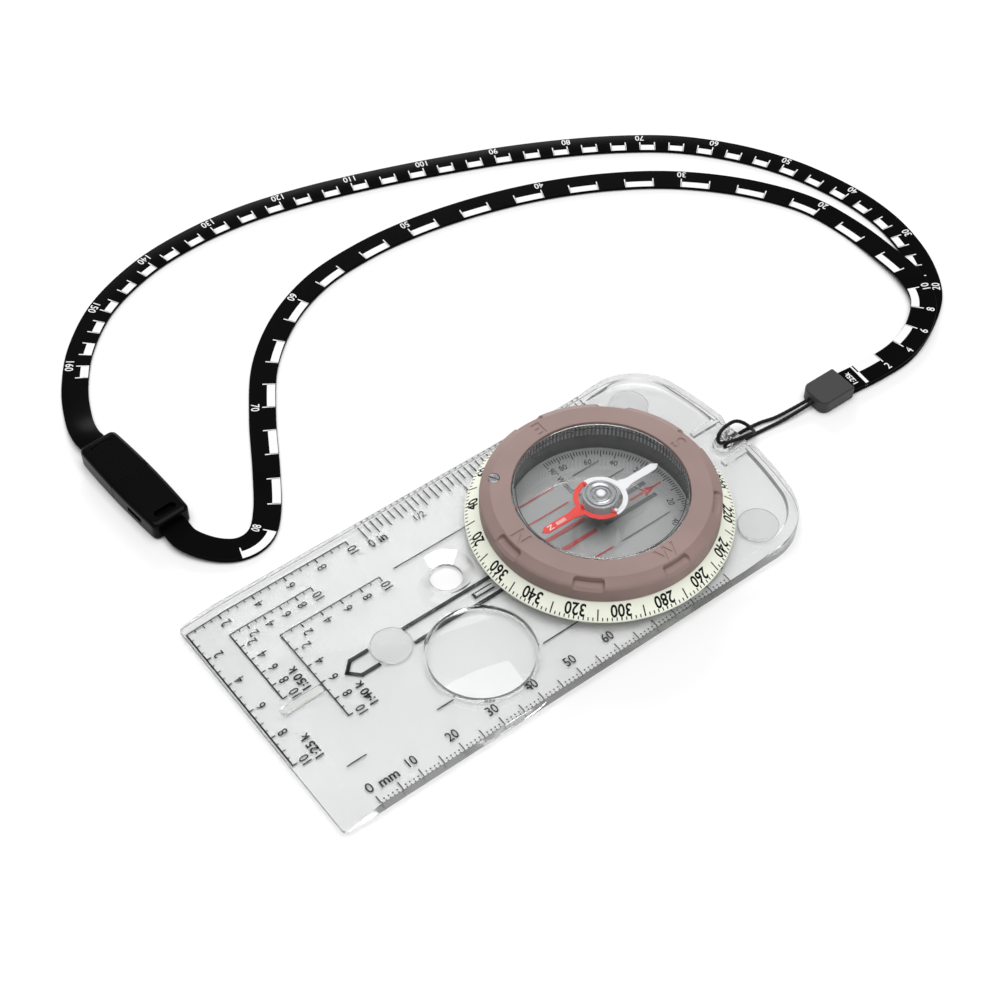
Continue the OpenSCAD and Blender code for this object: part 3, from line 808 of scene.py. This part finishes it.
def plate_print():
    ink, bold = Ink(flat(PRINT_LOW, 0.05)), Ink(flat(PRINT_LOW, 0.05))
    romer(ink, 28.6, 63.2, 4.0, True, 2.6)
    romer(ink, 22.8, 56.1, 2.0, False, 2.5)
    romer(ink, 16.3, 48.0, 2.5, False, 2.8)
    for label, x, y in (("1:25 k", -9.9, 57.8), ("1:50 k", 5.0, 51.0), ("1:40 k", -6.2, 42.2)):
        bold.text(label, x, y, 2.0, bold=True)
    millimetre_ruler(ink, bold)
    inch_ruler(ink, bold)
    for x, y0, y1 in ((16.3, 19.3, -2), (-18.4, 54.9, 50.4), (-18.4, 33.1, 29.0),
                      (-18.4, 6.0, -4.0)):
        ink.bar(x, y0, x, y1, 0.28)
    travel_arrow(bold)
    ink.make("plate_scales", BLACK_INK, "plate", "baseplate")
    bold.make("plate_marks", BLACK_INK, "plate", "baseplate")
    index = Ink(flat(0.6, 0.05))
    index.bar(0, 9.6, 0, 5.0, 0.75)
    index.make("plate_index_line", WHITE_INK, "plate", "baseplate")


plate_print()


# ---- dial
def ring_text(ink, text, r, degrees, size, outward=True, **shape):
    """Text centred at a radius and angle, its top facing outward or inward."""
    u, v = polar(r, degrees)
    ink.text(text, u, v, size, math.radians(degrees - 90 if outward else degrees + 90), **shape)


def ring_tick(ink, r0, r1, degrees, w, parts=1):
    ink.bar(*polar(r0, degrees), *polar(r1, degrees), w, parts)


GEAR_TEETH = 144
CONE_TOP, CONE_LOW = (25.9, 6.9), (29.3, 4.2)
CONE_FALL = (CONE_TOP[1] - CONE_LOW[1]) / (CONE_LOW[0] - CONE_TOP[0])


def on_cone(u, v, h):
    """Places print on the dial's cone, from a little below its surface to just above it."""
    r = math.hypot(u, v)
    lift = -0.03 + 0.05 * h
    k = 1 / math.hypot(1, CONE_FALL)
    grow = (r + lift * CONE_FALL * k) / r
    return u * grow, AXIS[1] + v * grow, CONE_TOP[1] - (r - CONE_TOP[0]) * CONE_FALL + lift * k


def finger_pocket(degrees):
    """A cutter for one finger pocket: its wall and floor curve up at its two ends."""
    half, straight = 3.4, 2.5
    rings = []
    for s in np.linspace(-half, half, 31):
        end = max(0, (abs(s) - straight) / (half - straight))
        t = 1 - math.sqrt(1 - end ** 2 * 0.999)
        wall, floor = 23.95 + 0.9 * t, 10.6 + 0.7 * t
        section = [(wall, 16), (wall, floor + 0.1), (wall + 0.2, floor), (25.5, floor),
                   (26.6, floor - 1.1), (30, floor - 1.1), (30, 16)]
        rings.append([(math.sqrt(r * r - s * s), s, z) for r, z in section])
    return place_mesh(loft("c", rings), (*AXIS, 0), math.radians(degrees))


def build_grip_ring():
    profile = [(19.25, 11.7), (22.2, 11.7), (22.2, 9), (22, 9), (22, 6.9), (25.95, 6.9),
               (26.1, 7.1), (26.1, 10.4), (25.9, 10.85), (25.4, 11.25), (24.5, 11.8),
               (23.7, 12.4), (19.35, 12.4), (19.25, 12.3)]
    ring = lathe("grip_ring_moulding", profile, segments=288)
    # Cuts: seven pockets, with none at the declination screw, and the screw's stepped bore
    cuts = [finger_pocket(45 + 45 * k) for k in range(1, 8)]
    cuts += [lathe("c", [(0, 9), (1.95, 9), (1.95, 11.1), (0, 11.1)], SCREW_AT, 64),
             lathe("c", [(0, 7.5), (0.62, 7.5), (0.62, 9.5), (0, 9.5)], SCREW_AT, 48),
             lathe("c", [(0, 11.6), (1.28, 11.6), (1.28, 12.3), (1.42, 12.5), (1.42, 14), (0, 14)],
                   SCREW_AT, 64)]
    boolean(ring, cuts)
    letters = Ink(flat(12.22, 0.6, AXIS))
    for text, degrees in (("N", 90), ("E", 0), ("S", -90), ("W", 180)):
        ring_text(letters, text, 21.5, degrees, 3.4, False, bold=True)
    boolean(ring, [make("c", letters.verts, letters.faces)])
    return bevel(ring, 0.2, 3, 40)


piece(build_grip_ring(), "bezel", TAUPE, "grip_ring", "grip_ring")
# The dial ring, cream with a faint painted glow.
turned("dial_ring_moulding", "bezel", CREAM_PAINTED_GLOW, "dial_ring",
       [(22, 0.7), (23.42, 0.7), (23.42, 3.6), (29.0, 3.6), (29.3, 3.9), (29.3, CONE_LOW[1]),
        CONE_TOP, (22, 6.9)], radius=0.15, segments=360)
turned("retaining_ring_moulding", "bezel", DARK, "retaining_ring",
       [(23.42, 0.7), (25.2, 0.7), (25.4, 0.9), (25.4, 1.75), (23.42, 1.75)], radius=0.1)
turned("bearing_ring_moulding", "bezel", DARK, "bearing_ring",
       [(21.38, 1.4), (22, 1.4), (22, 9), (21.38, 9)], radius=0.06)
ribs = Ink(lambda u, v, h: (u, AXIS[1] + v, 6.2 + 2.7 * h))
for k in range(GEAR_TEETH):
    ring_tick(ribs, 21.32, 21.45, 360 / GEAR_TEETH * k, 0.42)
ribs.make("bearing_ring_ribs", GEAR, "bezel", "bearing_ring")
# The scale disc, dark grey for painted shade in the capsule's well.
turned("scale_disc_sheet", "bezel", DISC_PAINTED_SHADE, "scale_disc",
       [(0, 0.8), (22, 0.8), (22, 1.4), (0, 1.4)], radius=0.06)


def dial_print():
    """The degree scale on the cone, and the declination scale and arrow on the dial's floor."""
    rim, scale_r, floor_z = 29.12, 19.8, 1.4
    ink = Ink(on_cone)
    for n in range(0, 360, 20):
        ring_text(ink, str(n or 360), 27.55, 90 - n, 2.7, stretch=0.783, squeeze=0.82, bold=True)
    for n in range(0, 360, 2):
        long = n % 20 == 10
        reach = 1.9 if long else (0.9 if n % 20 == 0 else 0.55)
        ring_tick(ink, rim, rim - reach, 90 - n, 0.28 if long or n % 20 == 0 else 0.24, 3)
    ink.make("dial_numbers", BLACK_INK, "bezel", "dial_ring")
    scale = Ink(flat(floor_z, INK_T, AXIS))
    for n in range(-90, 91, 2):
        reach = 1.9 if n % 10 == 0 else 1.1
        ring_tick(scale, scale_r, scale_r - reach, -90 + n, 0.22)
        if n % 20 == 0 and 0 < abs(n) < 90:
            ring_text(scale, str(abs(n)), 16.6, -90 + n, 1.6, squeeze=0.85)
    for u, v, text in ((13.4, -0.4, "90° W decl."), (-12.8, 2.8, "90°")):
        scale.text(text, u, v, 1.5, math.pi, squeeze=0.85)
    scale.make("declination_scale", BLACK_INK, "bezel", "scale_disc")
    arrow = Ink(flat(floor_z, INK_T, AXIS))
    arrow.bar(0, -8.7, 0, -12.4, 0.55)
    arrow.bar(0, -15.2, 0, -17.4, 0.45)
    arrow.poly([(0, -15.8), (-1.35, -12.2), (0, -12.6), (1.35, -12.2)])
    arrow.make("declination_arrow", RED_INK, "bezel", "scale_disc")


dial_print()


# ---- capsule
turned("capsule_cup_moulding", "capsule", CAPSULE, "capsule_cup",
       [(0, 1.6), (21.3, 1.6), (21.3, 9.1), (20.9, 9.1), (20.9, 10.9), (20.7, 10.9), (20.7, 10.5),
        (20.3, 10.5), (20.3, 10.9), (20.1, 10.9), (20.1, 2.4), (0, 2.4)], radius=0.08)
turned("capsule_lid_moulding", "capsule", CAPSULE, "capsule_lid",
       [(0, 11.4), (18.2, 11.4), (18.2, 10.9), (21.7, 10.9), (21.7, 11.4), (18.9, 11.4),
        (18.9, 12.05), (18.75, 12.2), (0, 12.2)], radius=0.08)
turned("capsule_seal_cord", "capsule", RUBBER, "capsule_seal",
       [(20.31, 10.51), (20.69, 10.51), (20.69, 10.89), (20.31, 10.89)], radius=0.12)
turned("orienting_disc_sheet", "capsule", CAPSULE, "orienting_disc",
       [(1.2, 2.42), (20.0, 2.42), (20.0, 2.7), (1.2, 2.7)], radius=0.05)
turned("pivot_pin_turned", "capsule", STEEL, "pivot_pin",
       [(0, 2.4), (1.2, 2.4), (1.2, 3.1), (0.9, 3.4), (0.4, 3.4), (0.4, 8.5), (0.06, 9.3),
        (0, 9.3)], segments=64, radius=0.03)


def build_gear():
    """The gear ring, with the CAD's teeth outside and ribs inside that show through the lid."""
    root, tip, rib_root, rib_tip = 21.27, 21.85, 20.92, 21.06
    outer, inner = [], []
    for k in range(GEAR_TEETH):
        for r, part, rib in ((root, -0.26, rib_root), (tip, -0.11, rib_tip),
                             (tip, 0.11, rib_tip), (root, 0.26, rib_root)):
            a = (k + part) * TAU / GEAR_TEETH
            outer.append((r * math.cos(a), AXIS[1] + r * math.sin(a)))
            inner.append((rib * math.cos(a), AXIS[1] + rib * math.sin(a)))
    n = len(outer)
    verts = [(x, y, z) for z in (9.2, 10.8) for ring in (outer, inner) for x, y in ring]
    faces = []
    for k in range(n):
        j = (k + 1) % n
        faces += [[k, j, 2 * n + j, 2 * n + k], [n + j, n + k, 3 * n + k, 3 * n + j],
                  [j, k, n + k, n + j], [2 * n + k, 2 * n + j, 3 * n + j, 3 * n + k]]
    return make("capsule_gear_ring", verts, faces, 20)


piece(build_gear(), "capsule", GEAR, "capsule_gear", "capsule_gear")


def orienting_print():
    """The north lines, red to the north and dark to the south, printed under the cup."""
    north, south = Ink(flat(1.56, INK_T, AXIS)), Ink(flat(1.56, INK_T, AXIS))
    for side in (-1, 1):
        for x, w, far, back, end in ((2.0, 1.0, 18, 0, 14.4), (7.8, 0.34, 17, 0, 13.4),
                                     (13.0, 0.34, 14, 3, 10.4)):
            north.bar(side * x, 2.4, side * x, far, w)
            south.bar(side * x, -back, side * x, -end, w)
    north.make("orienting_lines_north", RED_INK, "capsule", "orienting_disc")
    south.make("orienting_lines_south", GREY_INK, "capsule", "orienting_disc")


orienting_print()

screw = lathe("declination_screw_turned", [(0, 7.7), (0.55, 7.7), (0.55, 11.0), (1.2, 11.0),
                                           (1.2, 12.3), (0, 12.3)], SCREW_AT, 64, 0.08)
slot_cut = place_mesh(box("c", -2, 2, -0.2, 0.2, 11.9, 14), (*SCREW_AT, 0), math.radians(30))
boolean(screw, [slot_cut])
piece(screw, "screw", STEEL, "declination_screw", "declination_screw")


# ---- needle and hub
NEEDLE_LOW, NEEDLE_TOP, TILT_Z = 8.85, 9.15, 9


def build_housing():
    """The round hub that holds the magnet, with the two stubs that the needle tilts on."""
    body = lathe("magnet_housing_moulding", [(1, 6.6), (4, 6.6), (4, 9.9), (0.9, 9.9), (0.9, 8.9),
                                             (1, 8.9)], segments=128, radius=0.12)
    stubs = []
    for side in (-1, 1):
        circle = [(0.3 * math.cos(TAU * k / 24), 0.3 * math.sin(TAU * k / 24)) for k in range(24)]
        stubs.append(loft("c", [[(side * x, AXIS[1] + y, TILT_Z + z) for y, z in circle]
                                for x in (3.7, 5.3)]))
    boolean(body, stubs, "UNION")
    cavity = lathe("c", [(1.2, 7.1), (3.4, 7.1), (3.4, 8.4), (1.2, 8.4)], segments=96)
    return boolean(body, [cavity])


piece(build_housing(), "magnet_hub", HUB, "magnet_housing", "magnet_housing")
turned("magnet_ring", "magnet_hub", STEEL, "magnet",
       [(1.3, 7.1), (3.4, 7.1), (3.4, 8.4), (1.3, 8.4)], segments=96, radius=0.1)
turned("jewel_cup", "magnet_hub", RUBY, "jewel_bearing",
       [(0.9, 8.9), (0.9, 9.9), (0, 9.9), (0, 9.36), (0.45, 8.9)], segments=48, radius=0.04)
turned("hub_cap_moulding", "magnet_hub", HUB, "hub_cap",
       [(0, 9.9), (4, 9.9), (4, 10.2), (3.9, 10.32), (3.55, 10.34), (3.46, 10.0), (3.28, 10.0),
        (3.2, 10.5), (3.0, 10.62), (2.3, 10.5), (2.2, 10.02), (2.02, 10.02), (1.94, 10.42),
        (1.5, 10.46), (1.42, 10.0), (0, 10.0)], segments=128, radius=0.04)
dot = lathe("hub_cap_centre", [(0, 10.05), (1.0, 10.05), (1.0, 10.6), (0.98, 10.72), (0.8, 10.86),
                               (0.5, 10.93), (0, 10.96)], segments=64)
piece(dot, "magnet_hub", WHITE, "hub_cap")


def needle_half(name, sign):
    """One half of the needle, to the north (sign 1) or south (-1): half the ring and one arm."""
    outer_r, inner_r = 5.9, 4.75
    ring = [polar(outer_r, a) for a in np.linspace(0, 76, 24)]
    arm = [(1.45, 6.5), (1.1, 7.3), (0.95, 8.2), (0.95, 14.7), (0, 16), (-0.95, 14.7),
           (-0.95, 8.2), (-1.1, 7.3), (-1.45, 6.5)]
    far = [polar(outer_r, a) for a in np.linspace(104, 180, 24)]
    inner = [polar(inner_r, a) for a in np.linspace(180, 0, 49)]
    outline = [(sign * x, sign * y + AXIS[1]) for x, y in ring + arm + far + inner]
    return bevel(prism(name, outline, NEEDLE_LOW, NEEDLE_TOP), 0.07)


def add_lugs(half, sign):
    """Joins the pivot bosses to the ends of a half ring."""
    lugs = []
    for side in (-1, 1):
        y0, y1 = sorted((0, sign * 0.6))
        x0, x1 = sorted((side * 4.42, side * 5.28))
        lugs.append(box("c", x0, x1, AXIS[1] + y0, AXIS[1] + y1, TILT_Z - 0.5, TILT_Z + 0.5))
    return boolean(half, lugs, "UNION")


def needle_print():
    """The N on the north arm, with a row of short bars on its inner side."""
    mark = Ink(flat(NEEDLE_TOP - 0.01, INK_T, AXIS))
    mark.text("N", 0, 13.6, 1.35, math.pi)
    for k in range(6):
        y = 11.9 - 0.42 * k
        mark.bar(0.42, y, -0.42, y, 0.2)
    mark.make("needle_letter", WHITE, "needle", "needle")


north = add_lugs(needle_half("needle_north", 1), 1)
tab = bevel(box("c", -0.4, 0.4, AXIS[1] + 4.8, AXIS[1] + 5.15, 9.0, 10.3), 0.08)
boolean(north, [tab], "UNION")
piece(north, "needle", RED, "needle", "needle")
piece(add_lugs(needle_half("needle_south", -1), -1), "needle", WHITE, "needle", "needle")
needle_print()


# ---- lanyard fittings
CLASP_A, CLASP_B = (54.7, 50.3), (84.5, 52.0)      # the ends of the clasp's middle line
CLASP_TURN = math.atan2(CLASP_B[1] - CLASP_A[1], CLASP_B[0] - CLASP_A[0])
CLASP_LENGTH, CLASP_HALF, CLASP_TOP, CLASP_SWELL = 29.85, 4.6, 4.8, 0.5

ferrule = prism("lanyard_ferrule_moulding",
                [(x - 2.2, y - 89.7) for x, y in
                 arc(1.8, 2.8, 2.0, 0, 90, 8) + arc(-1.8, 2.8, 2.0, 90, 180, 8)
                 + arc(-3.4, -4.4, 0.4, 180, 270, 3) + arc(3.4, -4.4, 0.4, 270, 360, 3)], 0.05, 3.6)
bevel(ferrule, 0.45, 4, 40)
piece(ferrule, "plate", RUBBER, "lanyard_ferrule", "lanyard_ferrule")


def clasp_frame(obj):
    """Moves a clasp piece from along the X axis to where the clasp lies."""
    return place_mesh(obj, (*CLASP_A, 0.1), CLASP_TURN)


def clasp_body(name, x0, x1, far):
    """Half of the clasp's outer body from x0 to x1, with its far end, x0 or x1, rounded."""
    ends = [(0.0, 1.0, 0.75), (0.12, 0.65, 0.45), (0.4, 0.3, 0.2), (0.9, 0.05, 0.05), (1.5, 0, 0)]
    between = [(float(x), 0, 0) for x in np.linspace(x0, x1, 8)]
    if far == x0:
        xs = [(far + d, i, z) for d, i, z in ends] + between[1:]
    else:
        xs = between[:-1] + [(far - d, i, z) for d, i, z in reversed(ends)]
    rings = []
    low_r, top_r = 0.5, 1.0
    for x, i, z in xs:
        swell = 1 - (2 * x / CLASP_LENGTH - 1) ** 2
        w, lo, hi = CLASP_HALF + CLASP_SWELL * swell - i, z * 0.8, CLASP_TOP - z
        outline = (arc(w - low_r, lo + low_r, low_r, -90, 0, 4)
                   + arc(w - top_r, hi - top_r, top_r, 0, 90, 6)
                   + arc(-w + top_r, hi - top_r, top_r, 90, 180, 6)
                   + arc(-w + low_r, lo + low_r, low_r, 180, 270, 4))
        rings.append([(x, a, b) for a, b in outline])
    return loft(name, rings, 30)


def build_socket():
    """The clasp's socket, with its well, the strap's slot and a window in each side."""
    socket = clasp_body("clasp_socket_moulding", 0, 16.0, 0)
    slot = [(x + 2.75, y) for x, y in rect_outline(2.0, 5.4, 0.98)]
    cuts = [box("c", 5.7, 17, -3.1, 3.1, 1.2, 3.8), prism("c", slot, 3.4, 8),
            box("c", 5.2, 10.2, -8, -3.0, 1.6, 3.0), box("c", 5.2, 10.2, 3.0, 8, 1.6, 3.0)]
    boolean(socket, cuts)
    return clasp_frame(bevel(socket, 0.22, 3, 45))


def build_plug():
    """The clasp's plug, with a curved groove in its top and the tongue that enters the socket."""
    plug = clasp_body("clasp_plug_moulding", 16.1, CLASP_LENGTH, CLASP_LENGTH)
    groove = arc(18.7, 0, 9.0, -17, 17, 11) + arc(18.7, 0, 9.5, 17, -17, 11)
    boolean(plug, [prism("c", groove, 4.5, 8)])
    boolean(plug, [box("c", 6.2, 17.2, -2.8, 2.8, 1.5, 3.5)], "UNION")
    return clasp_frame(bevel(plug, 0.22, 3, 45))


socket = piece(build_socket(), "plate", BLACK, "clasp_socket", "clasp_socket")
plug = piece(build_plug(), "clasp_plug", BLACK, "clasp_plug", "clasp_plug")


# ---- straps
def scale_print(path, unit, last, label):
    """A map scale printed along a strap, with a bar on every other interval of two units."""
    ink = Ink(along(path, STRAP_T / 2 - 0.01))
    start, edge, numbers_at = 4.8, STRAP_W / 2 - 0.12, -1.55
    ink.bar(start, -edge, start, edge, 0.8)
    for k in range(0, last + 1, 4):
        u0, u1 = start + k * unit, start + (k + 2) * unit
        wide = 1.9 if k else 2.3
        ink.bar(u0, edge - wide / 2, u1, edge - wide / 2, wide, round(2 * unit))
        for n in (k, k + 2):
            if n:
                ink.bar(start + n * unit, edge, start + n * unit, edge - 3.0, 0.28)
    single = (2, 4, 6, 8) if last < 100 else ()
    for n in (*single, *range(10, last + 1, 10)):
        ink.text(str(n), start + n * unit, numbers_at, 2.0, squeeze=0.85)
    ink.text(label, 2.3, 0, 1.35, math.pi / 2, bold=True)
    return ink


# The units, in millimetres, are as photographed and a little short of the true 4 and 2.
print_inner = scale_print(inner_path, 3.616, 80, "1:25k")
print_inner = print_inner.make("strap_inner_scale", WHITE_INK, "plate", "strap_inner")
print_outer = scale_print(outer_path, 1.895, 160, "1:50k")
print_outer = print_outer.make("strap_outer_scale", WHITE_INK, None, "strap_outer")

piece(strap_inner, "plate", STRAP, "strap_inner", "strap_inner")
piece(lanyard_loop, "plate", CORD, "lanyard_loop", "lanyard_loop")
# The outer strap starts on the plate's body and ends on the plug's.
strap_outer.data.materials.append(STRAP)
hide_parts("strap_outer")
for band in (strap_outer, print_outer):
    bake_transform(band)

# ---- carried-over CAD node
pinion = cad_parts["screw_pinion"]
if not pinion.material_slots:
    pinion.data.materials.append(None)
for s in pinion.material_slots:
    s.link = "OBJECT"
    s.material = BRASS


# ---- floor, lights and world
FLOOR_HALF = 3000
LAMPS_AIM = (0.02, -0.02, 0)


def build_floor():
    m, nt, bsdf, _ = shader("floor")
    v = coords(nt)
    tone(nt, bsdf, noise(nt, v, 3, 2), grey(0.90), grey(0.93))
    nt.links.new(spread(nt, noise(nt, v, 200, 3), 0.8, 0.9), bsdf.inputs["Roughness"])
    put(bsdf, {"Specular IOR Level": 0.1})
    corners = ((-1, -1), (1, -1), (1, 1), (-1, 1))
    floor = make("floor", [(x * FLOOR_HALF, y * FLOOR_HALF, 0) for x, y in corners], [[0, 1, 2, 3]])
    floor.data.materials.append(m)


def lamp(name, place, size, power):
    """A rectangular lamp, in metres and watts."""
    data = bpy.data.lights.new(name, "AREA")
    data.shape = "RECTANGLE"
    data.size, data.size_y = size
    data.energy = power
    obj = link(bpy.data.objects.new(name, data))
    obj.location = place
    aim(obj, Vector(LAMPS_AIM) - Vector(place))


build_floor()
lamp("lamp_overhead", (-0.1, 0.0, 2.4), (2.2, 2.2), 49)
lamp("lamp_back", (1.6, -0.9, 0.75), (0.9, 0.5), 12)
world = bpy.data.worlds.new("world")
world.use_nodes = True
put(world.node_tree.nodes["Background"], {"Color": (1, 1, 1, 1), "Strength": 0.40})
bpy.context.scene.world = world
bpy.context.scene.view_settings.view_transform = "Standard"
